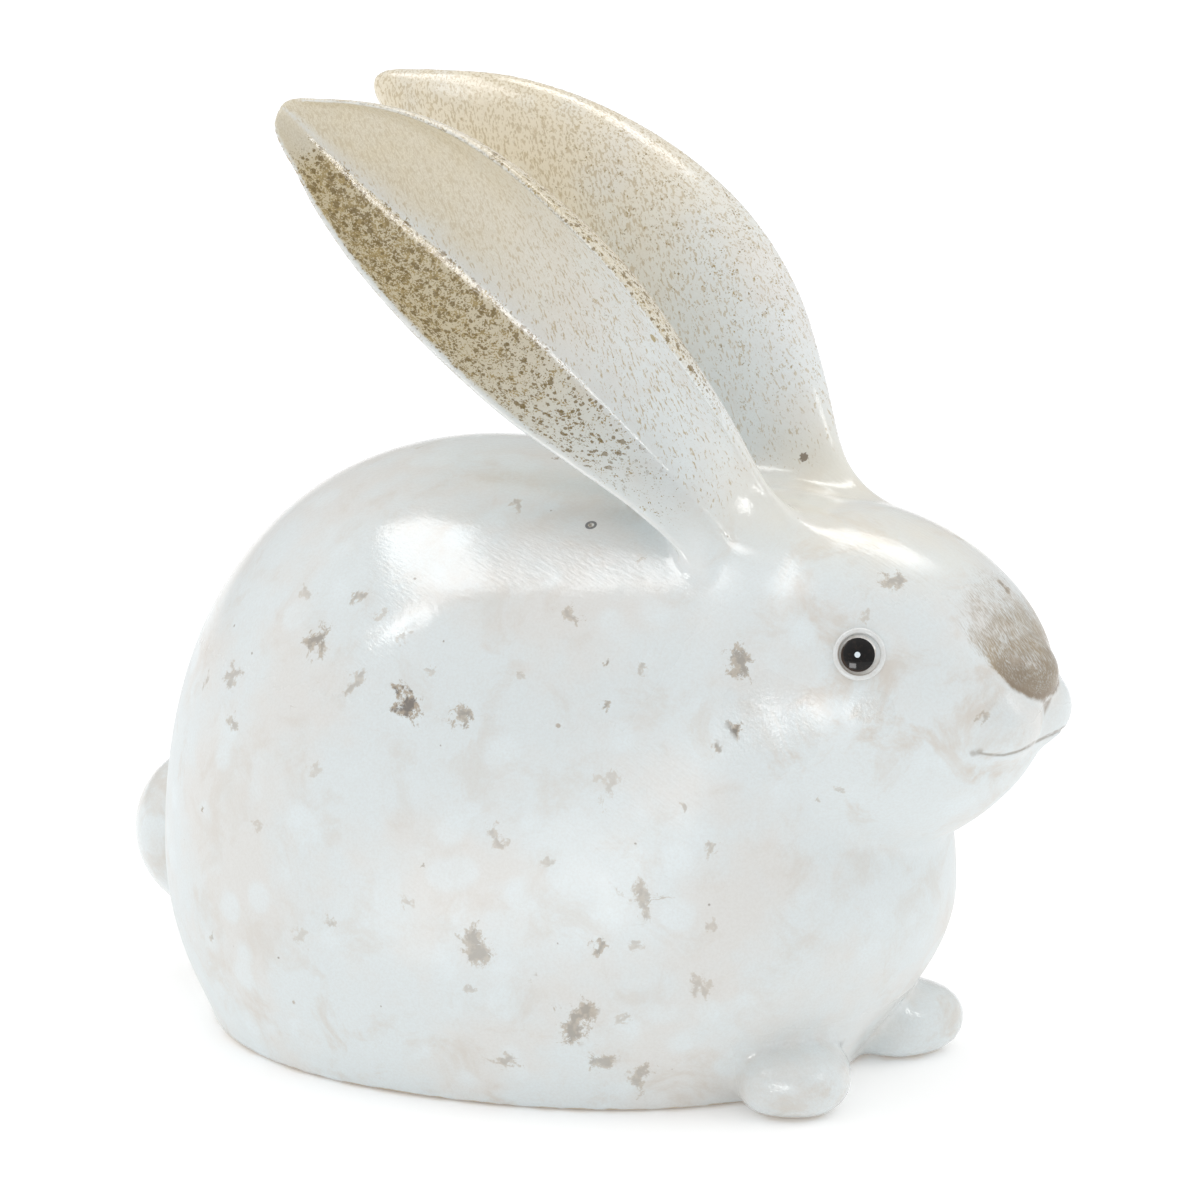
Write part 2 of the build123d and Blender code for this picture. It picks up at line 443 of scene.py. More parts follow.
# The body's field: torso, head and muzzle, then tail and paws

rough = Block((-150, -92, -6), (146, 92, 200), rough_cell)
body = Block((-149.4, -90, -5.4), (144, 90, 198), skin_cell)

torso = body.resampled(rough, rough.distances(torso_rings(0, 0), rough_reach))
head = body.resampled(rough, rough.distances(head_rings(0), rough_reach))
body_x, _, body_z = body.grids()
neck = chin_softness + (neck_softness - chin_softness) * (1 - ramp(body_x, *chin_fade))
casting = blended(torso, head, neck)


def muzzle_on(block):
    near, far = (ball_distances(block, centre, lip_radii) for centre in (lip_centre, other_side(lip_centre)))
    lips = blended(near, far, cleft_softness)
    return blended(lips, ball_distances(block, nose_centre, nose_radii), nose_softness)


casting = blended(casting, muzzle_on(body), lip_softness)

tail_ball = ball_distances(body, tail_centre, tail_radii)
paw_balls = {
    "left": ball_distances(body, paw_centre, paw_radii, paw_squareness, paw_turn),
    "right": ball_distances(body, other_side(paw_centre), paw_radii, paw_squareness, -paw_turn),
}
whole = blended(casting, tail_ball, tail_softness)
for ball in paw_balls.values():
    whole = blended(whole, ball, paw_softness)
whole = smoothed(whole)
whole = np.maximum(whole, -body_z)

ear_samples = ear_rings()
ear_block = Block((-96, -4, 112), (104, 60, 264), ear_cell)
ear_thin = ear_block.distances(ear_samples, ear_reach)
ear_ground = ear_block.resampled(body, whole)
ear_out = 1 - ramp(ear_block.grids()[1], *ear_softness_fade)
ear_whole = blended(ear_ground, ear_thin, ear_softness[1] + (ear_softness[0] - ear_softness[1]) * ear_out)
ear_whole = smoothed(ear_whole)


# Meshes, cut into the figurine's pieces

def placed(name, data):
    made = bpy.data.objects.new(name, data)
    bpy.context.scene.collection.objects.link(made)
    return made


def surface_object(name, block, field):
    points, faces = block.surface(field)
    mesh = bpy.data.meshes.new(name)
    mesh.from_pydata((points * MM).tolist(), [], faces.tolist())
    mesh.update()
    return placed(name, mesh)


def combined(target, tool, operation):
    """The target with its mesh after a boolean with the tool, which stays as it is."""
    cut = target.modifiers.new("cut", "BOOLEAN")
    cut.operation = operation
    cut.solver = "MANIFOLD"
    cut.object = tool
    bpy.context.view_layer.update()
    seen = target.evaluated_get(bpy.context.evaluated_depsgraph_get())
    mesh = bpy.data.meshes.new_from_object(seen)
    target.modifiers.remove(cut)
    old = target.data
    target.data = mesh
    bpy.data.meshes.remove(old)
    return target


def points_of(made):
    places = np.empty(len(made.data.vertices) * 3, np.float32)
    made.data.vertices.foreach_get("co", places)
    return places.reshape(-1, 3).astype(float) / MM


def set_points(made, points):
    made.data.vertices.foreach_set("co", (points * MM).astype(np.float32).ravel())
    made.data.update()


def mirrored(target, name):
    made = placed(name, target.data.copy())
    set_points(made, points_of(made) * (1, -1, 1))
    made.data.flip_normals()
    return made


def tree_of(made):
    return BVHTree.FromPolygons(
        [tuple(point) for point in points_of(made)], [tuple(each.vertices) for each in made.data.polygons])


skin = surface_object("body_skin", body, whole)
skin_tree = tree_of(skin)


def on_skin(pixel, tree=skin_tree):
    """The place and normal where the camera's ray through a pixel of the photograph meets a skin."""
    aim = (
        to_right * (pixel[0] - photo_size / 2) - to_top * (pixel[1] - photo_size / 2)
        - to_camera * photo_focal
    )
    place, normal, _, _ = tree.ray_cast(Vector(camera_place), Vector(aim).normalized())
    return None if place is None else (np.array(place), np.array(normal))


# The face gets finer cells, and the mouth is drawn into its clay
mouth_pixels = (
    (1045, 741), (1037, 741), (1027, 747), (1016, 752), (1004, 755), (994, 755), (985, 754), (977, 752))
face = Block((94, -42, 80), (143, 42, 142), face_cell)


def line_distance(points, ends):
    """The distance from points to a line through places, in space or in the photograph."""
    nearest = np.full(len(points), 1e9)
    for start, end in zip(ends[:-1], ends[1:]):
        start, along = np.array(start, float), np.array(end, float) - np.array(start, float)
        share = np.clip((points - start) @ along / max(along @ along, 1e-9), 0, 1)
        nearest = np.minimum(nearest, np.linalg.norm(points - start - share[:, None] * along, axis=1))
    return nearest


face_casting = face.resampled(body, blended(torso, head, neck))
face_field = blended(face_casting, muzzle_on(face), lip_softness)
close = np.abs(face_field) < groove_reach
close_places = np.stack([v[close] for v in np.broadcast_arrays(*face.grids())], 1)
mouth = [hit[0] for hit in map(on_skin, mouth_pixels) if hit]
groove = np.full(face_field.shape, 3 * groove_reach, np.float32)
groove[close] = line_distance(near_side(close_places), mouth)
face_field = -blended(-face_field, groove - groove_radius, groove_softness)


def face_share(points):
    """How far each point follows the face's finer field, from 1 to 0 outside the face."""
    share = np.ones(len(points))
    for i in range(3):
        share *= ramp(points[:, i], face_low[i], face_low[i] + face_fade)
        if i:
            share *= 1 - ramp(points[:, i], face_high[i] - face_fade, face_high[i])
    return share


def refine(made):
    """Gives the face's skin smaller faces, and moves its points onto the finer field."""
    shape = bmesh.new()
    shape.from_mesh(made.data)
    for low, high in ((face_low, face_high), (muzzle_low, muzzle_high)):
        inside = [
            f for f in shape.faces
            if all(low[i] <= v.co[i] / MM <= high[i] for v in f.verts for i in range(3))
        ]
        edges = list({e for f in inside for e in f.edges})
        bmesh.ops.subdivide_edges(shape, edges=edges, cuts=1, use_grid_fill=True)
    shape.to_mesh(made.data)
    shape.free()
    points = points_of(made)
    share = face_share(points)
    chosen = share > 0
    moved = points[chosen]
    for _ in range(4):
        moved = moved - (
            face.normals_at(face_field, moved) * face.at(face_field, moved)[:, None] * share[chosen, None])
    points[chosen] = moved
    set_points(made, points)


refine(skin)

# Cutters: each follows its luted piece a little way off, and dips into the skin under it
cut_block = Block((-100, -8, 108), (108, 64, 268), cutter_cell)
left_ear_cutter = surface_object("left_ear_cutter", cut_block, np.maximum(
    cut_block.resampled(ear_block, ear_thin) - skirt,
    -cut_block.resampled(body, whole) - root_depth,
))
right_ear_cutter = mirrored(left_ear_cutter, "right_ear_cutter")
inner_skin = -casting - root_depth
tail_cutter = surface_object("tail_cutter", body, np.maximum(tail_ball - pellet_skirt, inner_skin))
paw_cutters = {
    side: surface_object(side + "_paw_cutter", body, np.maximum(ball - pellet_skirt, inner_skin))
    for side, ball in paw_balls.items()
}

left_ear = combined(surface_object("left_ear_skin", ear_block, ear_whole), left_ear_cutter, "INTERSECT")
right_ear = mirrored(left_ear, "right_ear_skin")
tail = combined(placed("tail_skin", skin.data.copy()), tail_cutter, "INTERSECT")
paws = {
    side: combined(placed(side + "_front_paw_skin", skin.data.copy()), cutter, "INTERSECT")
    for side, cutter in paw_cutters.items()
}

# The hollow of the casting and its vent
hollow_block = Block((-148, -92, -4), (144, 92, 200), hollow_cell)
hollow = surface_object("hollow", hollow_block, blended(
    hollow_block.distances(torso_rings(wall, floor_thickness), hollow_reach),
    hollow_block.distances(head_rings(wall), hollow_reach), hollow_softness,
))
vent_block = Block(
    (vent_x - vent_margin, -vent_margin, -6), (vent_x + vent_margin, vent_margin, 16), vent_cell)
vent_gx, vent_gy, vent_gz = vent_block.grids()
vent = surface_object("vent", vent_block, np.maximum(
    np.hypot(vent_gx - vent_x, vent_gy) - vent_radius,
    np.abs(vent_gz - vent_middle) - vent_half_height,
).astype(np.float32))
for cutter in (left_ear_cutter, right_ear_cutter, tail_cutter, *paw_cutters.values(), hollow, vent):
    combined(skin, cutter, "DIFFERENCE")
    mesh = cutter.data
    bpy.data.objects.remove(cutter)
    bpy.data.meshes.remove(mesh)


# What the glaze does where: fields kept on the points of each piece

# Iron splashes: pixel across and down, radius in pixels, and paleness from 0, dark, to 1, faint
splash_pixels = (
    (316, 640, 18, .35), (406, 700, 16, 0), (462, 714, 13, .35), (356, 681, 12, .6), (232, 676, 14, .6),
    (231, 722, 11, .6), (207, 680, 8, .7), (359, 596, 10, .5), (382, 616, 9, .7), (306, 591, 9, .75),
    (570, 614, 12, .55), (606, 664, 5, .4), (607, 705, 5, .4), (640, 671, 7, .65), (742, 665, 16, .35),
    (735, 732, 10, .1), (720, 746, 8, .35), (520, 676, 5, .8), (499, 840, 13, .65), (607, 785, 13, .85),
    (548, 863, 7, .8), (423, 866, 3, .5), (640, 900, 18, .6), (472, 950, 20, .5), (597, 949, 9, .4),
    (637, 946, 7, .75), (710, 927, 8, .75), (700, 986, 10, .7), (577, 1022, 24, .4), (622, 1019, 8, .75),
    (506, 1060, 15, .6), (600, 1061, 16, .5), (639, 1076, 15, .55), (470, 986, 7, .75), (331, 921, 7, .7),
    (407, 902, 7, .85), (212, 937, 7, .6), (316, 770, 9, .9), (259, 827, 8, .9), (300, 935, 11, .9),
    (684, 806, 6, .7), (710, 849, 7, .65), (202, 809, 3, .3), (430, 672, 6, .75), (405, 637, 8, .8),
    (518, 505, 10, .6), (591, 525, 4, .2), (893, 580, 13, .45), (957, 537, 6, .6), (1004, 587, 9, .3),
    (984, 716, 7, .6), (839, 790, 5, .8), (818, 800, 3, .7), (866, 618, 9, .75), (640, 560, 5, .7),
)
ringed_dot_pixel = (591, 525)
tan_spot_pixel = (653, 338)
brown_spot_pixel = (804, 457)

# Places where the glaze has crawled: pixel across and down, and radius
crackle_pixels = ((770, 725, 62), (872, 715, 30), (1015, 690, 42), (800, 1075, 60), (918, 1025, 34))

# The lower edge of the nose's stain, and each rubbed crease with how strong it is and where it fades
stain_edge_pixels = (
    (940, 600), (973, 647), (995, 670), (1013, 688), (1030, 697), (1042, 700), (1056, 690), (1066, 674))
cleft_pixels = ((1045, 700), (1047, 715), (1047, 729), (1045, 741))
mouth_corner_pixels = ((973, 753), (980, 751))
rubbed_lines = (
    (mouth_pixels, 0.75, 0.6, 1.9),
    (cleft_pixels, 0.9, 1.2, 3.4),
    (mouth_corner_pixels, 0.6, 1.5, 5),
)

# The splashes keep apart by the gap, and each is turned and stretched by its number. Those on the sides
# that the photograph doesn't show have the least radius and up to so much more.
splash_limit = 125
splash_gap = 11
splash_least = 1
splash_more = 3.8
splash_pale_shares = (0.2, 0.95)
splash_turn = 2.4
splash_step = 1.7
splash_stretch = 0.5
splash_parting = (2.4, 4.4)
golden_share = 0.618
spread = np.random.default_rng(12)

# Where those lie: near the glaze's surface, turned away from the camera or up on the back, above the foot
glaze_near = 0.2
away_limit = -0.02
back_level = 0.95
back_front = 10
foot_margin = 4


def splashes():
    """The place, normal, radius and paleness of every splash: those the photograph shows, then others
    like them on the sides that it doesn't show."""
    found = []
    for across, down, radius, paleness in splash_pixels:
        hit = on_skin((across, down))
        if hit:
            found.append((*hit, radius * camera_distance / photo_focal, paleness))
    points = points_of(skin)
    normals = body.normals_at(whole, points)
    outside = np.abs(body.at(whole, points)) < glaze_near
    on_back = (normals[:, 2] > back_level) & (points[:, 0] < back_front)
    hidden = outside & ((normals @ to_camera < away_limit) | on_back) & (points[:, 2] > foot_margin)
    for index in spread.permutation(np.flatnonzero(hidden)):
        place = points[index]
        if all(np.linalg.norm(place - other[0]) > splash_gap for other in found):
            radius = splash_least + splash_more * spread.random() ** 2
            found.append((place, normals[index], radius, spread.uniform(*splash_pale_shares)))
        if len(found) > splash_limit:
            break
    return found


splash_list = splashes()


def mark_place(pixel, tree):
    return tuple(on_skin(pixel, tree)[0] * MM)


ringed_dot = mark_place(ringed_dot_pixel, skin_tree)
tan_spot = mark_place(tan_spot_pixel, tree_of(right_ear))
brown_spot = mark_place(brown_spot_pixel, tree_of(left_ear))


def splash_fields(points):
    """Each point's place in its nearest splash, in radii, with the splash's number, nearness and paleness."""
    nearest = np.full(len(points), 1e3)
    runner_up = np.full(len(points), 1e3)
    local = np.zeros((len(points), 3))
    pale = np.zeros(len(points))
    beside = np.ones(len(points))
    for number, (place, normal, radius, paleness) in enumerate(splash_list):
        offset = points - place
        away = np.linalg.norm(offset, axis=1) - radius
        chosen = away < nearest
        runner_up = np.where(chosen, nearest, np.minimum(runner_up, away))
        first = np.cross(normal, (0, 0, 1))
        first /= max(np.linalg.norm(first), 1e-6)
        lean = number * splash_turn
        long_way = math.cos(lean) * first + math.sin(lean) * np.cross(normal, first)
        short_way = np.cross(normal, long_way)
        stretch = 1 + splash_stretch * (number * golden_share % 1)
        nearby = offset[chosen]
        local[chosen] = np.stack([
            nearby @ long_way / (radius * stretch),
            nearby @ short_way / (radius / stretch ** 0.5),
            np.full(len(nearby), number * splash_step),
        ], 1)
        nearest[chosen] = away[chosen]
        pale[chosen] = paleness
        beside[chosen] = 1 - ramp(np.abs(nearby @ normal), 0.8 * radius + 1, 0.8 * radius + 4)
    apart = ramp(runner_up - nearest, *splash_parting)
    return {"splash": local, "splash_near": apart * beside, "splash_pale": pale}


def band(value, rise_start, rise_end, fall_start, fall_end):
    return ramp(value, rise_start, rise_end) * (1 - ramp(value, fall_start, fall_end))


def head_cream(points):
    """The warm tint of the head's top."""
    x, y, z = points.T
    return 0.5 * (1 - ramp(np.abs(y), 15, 36)) * ramp(z, 134, 156) * band(x, 30, 55, 108, 128)


def veils_at(points):
    """Where more of the warm clay shows through the glaze: the head's front, the foot and the rump."""
    x, _, z = points.T
    head_front = ramp(x, 55, 95) * ramp(z, 70, 95)
    return np.maximum.reduce([head_front, 0.7 * (1 - ramp(z, 8, 40)), 0.5 * (1 - ramp(x, -105, -60))])


def crackle_at(points):
    """Where the glaze has crawled into fine ridges."""
    across, down = photo_pixels(points)
    crawled = np.zeros(len(points))
    for middle_across, middle_down, radius in crackle_pixels:
        reach = np.hypot(across - middle_across, down - middle_down) / radius
        crawled = np.maximum(crawled, 1 - ramp(reach, 0.3, 1.25))
    return crawled


def matt_at(points):
    """Where the glaze is duller: the flanks and the chest, below the back and the head."""
    x, _, z = points.T
    polished = ramp(z - (94 + 34 * ramp(x, 42, 66)), 0, 30)
    pellets = np.maximum(ramp(x, 66, 72) * (1 - ramp(z, 20, 26)), 1 - ramp(x, -124, -116))
    return 0.32 * (1 - np.maximum.reduce([polished, pellets, crackle_at(points)]))


def body_fields(points):
    """The stain over the nose and bridge, the lines rubbed into the face's creases, and the glaze's state."""
    across, down = photo_pixels(points)
    on_head = ramp(points[:, 0], 88, 96)
    above = np.interp(across, *np.array(stain_edge_pixels, float).T) - down
    soft = 1 - ramp(across, 975, 1000)
    under = ramp(above, -1.2 - 10 * soft, 1.2 + 14 * soft)
    from_left = ramp(across + 0.27 * (down - 600), 930, 1028)
    down_bridge = 0.24 + 0.81 * ramp(down, 525, 695)
    creases = [(1 - ramp(np.abs(above - 2), 2, 6)) * ramp(across, 996, 1014)]
    for line, strength, start, end in rubbed_lines:
        away = line_distance(np.stack([across, down], 1), line)
        creases.append(strength * (1 - ramp(away, start, end)))
    return {
        "stain": on_head * under * from_left * down_bridge,
        "crease": np.maximum.reduce(creases) * on_head,
        "cream": head_cream(points),
        "matt": matt_at(points),
        "crackle": crackle_at(points),
        "veils": veils_at(points),
    }


ear_section_places = np.concatenate([
    np.linspace(run, run + 1, count)[:-1]
    for run, count in enumerate((ear_wall_count, ear_wall_count, ear_lip_count) * 2)
])
ear_tree = KDTree(ear_samples.shape[0] * ear_samples.shape[1])
for number, place in enumerate(ear_samples.reshape(-1, 3)):
    ear_tree.insert(place, number)
ear_tree.balance()


def on_left(places, mirror):
    return places * ((1, -1, 1) if mirror else (1, 1, 1))


def ear_fields(points, mirror):
    """How thickly the iron specks, washes and rims lie on the ear, with a painted lighter coat over it and a
    painted highlight along the rims. A point's place round its section is 0 to 2 up the back, 2 to 3 on
    the upper rim, 3 to 4 down the high wall to the valley, 4 to 5 down the low wall from there, and 5 to 6
    on the lower rim."""
    seen = on_left(points, mirror)
    numbers = np.array([ear_tree.find(place)[1] for place in seen])
    place = ear_section_places[numbers % ear_samples.shape[1]]
    along = (seen - np.array(ear_root)) @ ear_ahead / ear_length
    own = 1 - ramp(ear_block.at(ear_thin, seen), 0.6, 3.2)
    low_wall = band(place, 3.99, 4.16, 4.93, 5.03)
    high_wall = band(place, 2.95, 3.1, 3.86, 4.1)
    high_rim = band(place, 2.45, 2.75, 2.97, 3.04)
    low_rim = band(place, 5.0, 5.2, 5.5, 5.8)
    low_edge = ramp(place, 5.6, 5.9) + (1 - ramp(place, 0.02, 0.07))
    back_high = band(place, 0.9, 1.9, 2.3, 2.9)
    back = 1 - ramp(place, 2.2, 2.7)
    brown = (
        0.9 * low_wall * band(along, -0.12, 0.86, 0.89, 0.97)
        + (0.46 if mirror else 0.13) * back_high * band(along, 0.06, 0.3, 0.55, 0.8)
        + 0.05 * back + 0.07 * high_wall * (1 - ramp(along, 0.4, 0.8))
    )
    tan = high_wall * (0.3 + 0.5 * ramp(along, 0.3, 0.8)) + back * (0.35 + 0.55 * ramp(along, 0.2, 0.7))
    rooted = ramp(along, 0.0, 0.18) * own
    # A painted highlight: a thin white line just inside the upper rim.
    glint = (1 - ramp(np.abs(place - 3.05), 0.03, 0.08)) * ramp(along, 0.05, 0.2)
    rims = high_rim * ramp(along, 0.3, 0.55) + 0.8 * low_edge * ramp(along, 0.25, 0.6)
    return {
        "speck_brown": np.clip(brown, 0, 1) * rooted,
        "speck_tan": np.clip(tan, 0, 1) * rooted,
        "ear_rim": np.clip(rims, 0, 1),
        # Painted highlight: white along the lower rim, and the thin line just inside the upper rim.
        "rim_white": np.clip(low_rim * ramp(along, 0.0, 0.15) + glint, 0, 1) * own,
        "tan_wash": np.maximum(high_wall * ramp(along, 0.3, 0.8), 0.9 * low_wall * ramp(along, 0.8, 0.94)),
        # Painted light: a lighter coat over all of the ear's own clay, standing in for light that its shaded
        # bowl lacks.
        "ear_light": own,
        "ear_back": back,
        "crackle": 0.35 * own,
        "matt": matt_at(points) * (1 - own),
        "veils": veils_at(points),
        "cream": np.maximum(head_cream(points) * (1 - ramp(along, 0.0, 0.2)), back * ramp(along, 0.2, 0.75)),
    }


# Materials

class Flow:
    """A node's output, to reckon with as with a number."""

    def __init__(self, nodes, socket):
        self.nodes = nodes
        self.socket = socket

    def math(self, operation, other=None, **settings):
        return self.nodes.node("Math", {0: self, 1: other}, operation=operation, **settings)

    def __add__(self, other):
        return self.math("ADD", other)

    def __sub__(self, other):
        return self.math("SUBTRACT", other)

    def __mul__(self, other):
        return self.math("MULTIPLY", other)

    def between(self, low, high, to_low=0, to_high=1, smooth=True):
        """The value's way from low to high, carried over to the way between two others."""
        given = dict(enumerate((self, low, high, to_low, to_high)))
        return self.nodes.node("MapRange", given, interpolation_type="SMOOTHSTEP" if smooth else "LINEAR")


class Nodes:
    """Shader nodes under construction. The colour so far lies in colour, and coats are laid over it."""

    def __init__(self, tree, coordinates="Object"):
        self.tree = tree
        self.place = self.node("TexCoord", {}, coordinates)
        self.colour = None

    def link(self, value, socket):
        if isinstance(value, Flow):
            self.tree.links.new(value.socket, socket)
        else:
            colour = isinstance(value, tuple) and len(socket.default_value) == 4
            socket.default_value = (*value, 1) if colour else value

    def node(self, kind, given, output=0, **settings):
        """One output of a new node with the given inputs and settings."""
        made = self.tree.nodes.new("ShaderNode" + kind)
        for name, value in settings.items():
            setattr(made, name, value)
        for name, value in given.items():
            if value is not None:
                self.link(value, made.inputs[name])
        return Flow(self, made.outputs[output])

    def value(self, name, output="Fac"):
        return self.node("Attribute", {}, output, attribute_name=name)

    def noise(self, scale, detail=2, roughness=0.5, distortion=0, place=None, output=0):
        return self.node("TexNoise", {
            "Vector": place or self.place, "Scale": scale, "Detail": detail, "Roughness": roughness,
            "Distortion": distortion,
        }, output)

    def wavering(self, low, high, scale, detail=2, roughness=0.5):
        """A noise that wanders from low to high."""
        return self.noise(scale, detail, roughness).between(*noise_shares, low, high)

    def cells(self, scale, output="Distance", feature="F1", smoothness=None):
        given = {"Vector": self.place, "Scale": scale, "Smoothness": smoothness}
        return self.node("TexVoronoi", given, output, feature=feature)

    def mix(self, share, a, b):
        return self.node("Mix", {"Factor": share, 6: a, 7: b}, 2, data_type="RGBA")

    def coat(self, share, tone):
        self.colour = self.mix(share, self.colour, tone)

    def stretched(self, turn, *scale):
        """The place in a frame that is turned about Y and stretched, to draw a noise out in it."""
        given = {"Vector": self.place, "Rotation": (0, turn, 0), "Scale": scale}
        return self.node("Mapping", given, vector_type="TEXTURE")

    def parts(self, place):
        return [self.node("SeparateXYZ", {0: place}, i) for i in range(3)]

    def distance(self, centre):
        return self.node("VectorMath", {0: self.place, 1: centre}, "Value", operation="DISTANCE")

    def bump(self, height, distance, strength=1, normal=None):
        return self.node("Bump", {
            "Height": height, "Distance": distance, "Strength": strength, "Normal": normal})


class Shader(Nodes):
    """A material's nodes, with the shader's own sockets set from them."""

    def __init__(self, name):
        self.material = bpy.data.materials.new(name)
        self.material.use_nodes = True
        super().__init__(self.material.node_tree)

    def set(self, name, value):
        self.link(value, self.tree.nodes["Principled BSDF"].inputs[name])

    def finished(self, roughness):
        self.set("Base Color", self.colour)
        self.set("Roughness", roughness)
        return self.material


# Tones: where two stand together, a noise or a mark's paleness runs from the first to the second
cool_white, warm_white = (0.725, 0.775, 0.785), (0.735, 0.735, 0.715)
clay_veil = (0.63, 0.575, 0.51)
pale_pool = (0.765, 0.83, 0.85)
clay_grain = (0.57, 0.53, 0.48)
fleck_tones = ((0.26, 0.215, 0.17), (0.40, 0.32, 0.24))
head_tint, ear_tint = (0.80, 0.745, 0.62), (0.82, 0.745, 0.59)
# The first is painted light, a lighter coat over the whole ear; the second is a painted highlight along the
# ears' rims.
painted_light_tone, rim_white = (0.86, 0.875, 0.86), (0.82, 0.83, 0.80)
tan_wash, tan_hair = (0.74, 0.665, 0.50), (0.54, 0.46, 0.31)
tan_specks = ((0.43, 0.32, 0.16), (0.56, 0.455, 0.28))
brown_wash, brown_drop = (0.66, 0.57, 0.38), (0.22, 0.155, 0.06)
brown_specks = ((0.25, 0.178, 0.066), (0.42, 0.315, 0.135))
tan_mark, brown_mark = (0.44, 0.36, 0.19), (0.22, 0.17, 0.12)
brown_edging = (0.25, 0.185, 0.09)
splash_cores = ((0.115, 0.085, 0.06), (0.46, 0.38, 0.285))
splash_rims = ((0.36, 0.285, 0.20), (0.53, 0.455, 0.355))
nose_tones = ((0.225, 0.16, 0.09), (0.39, 0.305, 0.19))
nose_deep, dot_ring = (0.15, 0.105, 0.065), (0.11, 0.11, 0.115)
crease_brown, eye_groove = (0.25, 0.195, 0.14), (0.30, 0.23, 0.17)
foot_tones = ((0.50, 0.43, 0.34), (0.64, 0.57, 0.47))
bisque_tones = ((0.40, 0.32, 0.23), (0.62, 0.54, 0.44))
eye_ring_tones = ((0.72, 0.74, 0.735), (0.60, 0.555, 0.50))
eyeball_tones = ((0.93, 0.925, 0.91), (0.78, 0.73, 0.67))
pupil_tones = ((0.004, 0.0035, 0.0035), (0.015, 0.010, 0.008))
pupil_rim = (0.06, 0.032, 0.018)
dot_tones = ((0.70, 0.80, 0.86), (0.82, 0.88, 0.92))

# How far the noises are turned about Y, to run along the ears, down the nose and round the back, and
# where a noise's values mostly lie
ear_turn, nose_turn, brush_turn = -0.38, 0.85, 0.5
noise_shares = (0.3, 0.7)


def white_coats(s):
    """Tin glaze over warm clay, with veils, pale pools, a fine grain and small flecks."""
    s.colour = s.mix(s.noise(24, 4, 0.6).between(0.42, 0.64), cool_white, warm_white)
    veiled = s.value("veils").between(0, 1, 0.36, 0.72)
    s.coat(s.noise(62, 6, 0.66, 0.5).between(0.48, 0.68) * veiled, clay_veil)
    pool = s.cells(75, feature="SMOOTH_F1", smoothness=0.5).between(0.44, 0.22)
    s.coat(pool * s.noise(40).between(0.42, 0.58) * 0.6, pale_pool)
    s.coat(s.noise(1400, 3, 0.7).between(0.35, 0.68, 0, 0.16), clay_grain)
    for scale, kept, tone in zip((110, 64), (0.58, 0.66), fleck_tones):
        fleck = (s.cells(scale) + s.wavering(-0.012, 0.012, 900)).between(0.050, 0.028)
        s.coat(fleck * s.cells(scale, "Color").between(kept, kept + 0.03) * 0.7, tone)


def ear_coats(s, cream):
    """The ears' painted lighter coat, cream and tan washes, their tan and brown specks, two marks, and the
    rims' brown edging and painted white highlight.
    """
    # Painted light: the ear's colour lightened all over, fading out where it runs into the body.
    s.coat(s.value("ear_light") * 0.32, painted_light_tone)
    s.coat(cream, ear_tint)
    wash = s.value("tan_wash")
    s.coat(wash * s.wavering(0.75, 0.95, 90, 4), tan_wash)
    speck_tan = s.value("speck_tan")
    tan = s.noise(1500, 3, 0.6, place=s.stretched(ear_turn, 1, 1, 3)) + speck_tan * 0.10
    strength = tan.between(0.60, 0.66) * wash.between(0, 1, 0.8, 0.35)
    strength = strength * s.value("ear_back").between(0, 1, 1, 0.72) * speck_tan.between(0, 0.14)
    s.coat(strength, s.mix(s.noise(200), *tan_specks))
    hairs = s.noise(3200, 2, 0.6, place=s.stretched(ear_turn, 1, 1, 2))
    s.coat(hairs.between(0.35, 0.65, 0, 0.45) * wash, tan_hair)
    brown = s.value("speck_brown")
    s.coat(brown.between(0.15, 0.8, 0, 0.85), brown_wash)
    fine = s.noise(1900, 3, 0.6, 0.35)
    net = fine * 0.66 + s.noise(480) * 0.34 + brown * 0.150
    cover = net.between(0.612, 0.634) * brown.between(0.0, 0.12)
    s.coat(cover * 0.92, s.mix(s.noise(350, 3).between(0.35, 0.65), *brown_specks))
    for scale, size, soft, rare in ((620, 0.36, 0.28, 0.60), (290, 0.27, 0.23, 0.55)):
        drop = (s.cells(scale) + s.wavering(-0.08, 0.08, 1500)).between(size, soft)
        few = (s.cells(scale, "Color") + brown * 0.3).between(rare, rare + 0.03) * brown.between(0.14, 0.34)
        s.coat(drop * few * 0.85, brown_drop)
    near_tan = s.distance(tan_spot) + s.noise(900).between(0, 1, -0.0003, 0.0003)
    s.coat(near_tan.between(0.0012, 0.0010, 0, 0.9), tan_mark)
    near_brown = s.distance(brown_spot) + fine.between(0, 1, -0.0006, 0.0006)
    s.coat(near_brown.between(0.0013, 0.0010, 0, 0.9), brown_mark)
    s.coat(s.value("ear_rim") * fine.between(0.38, 0.56, 0.25, 0.95), brown_edging)
    # Painted highlight: white along the rims.
    s.coat(s.value("rim_white") * 0.85, rim_white)


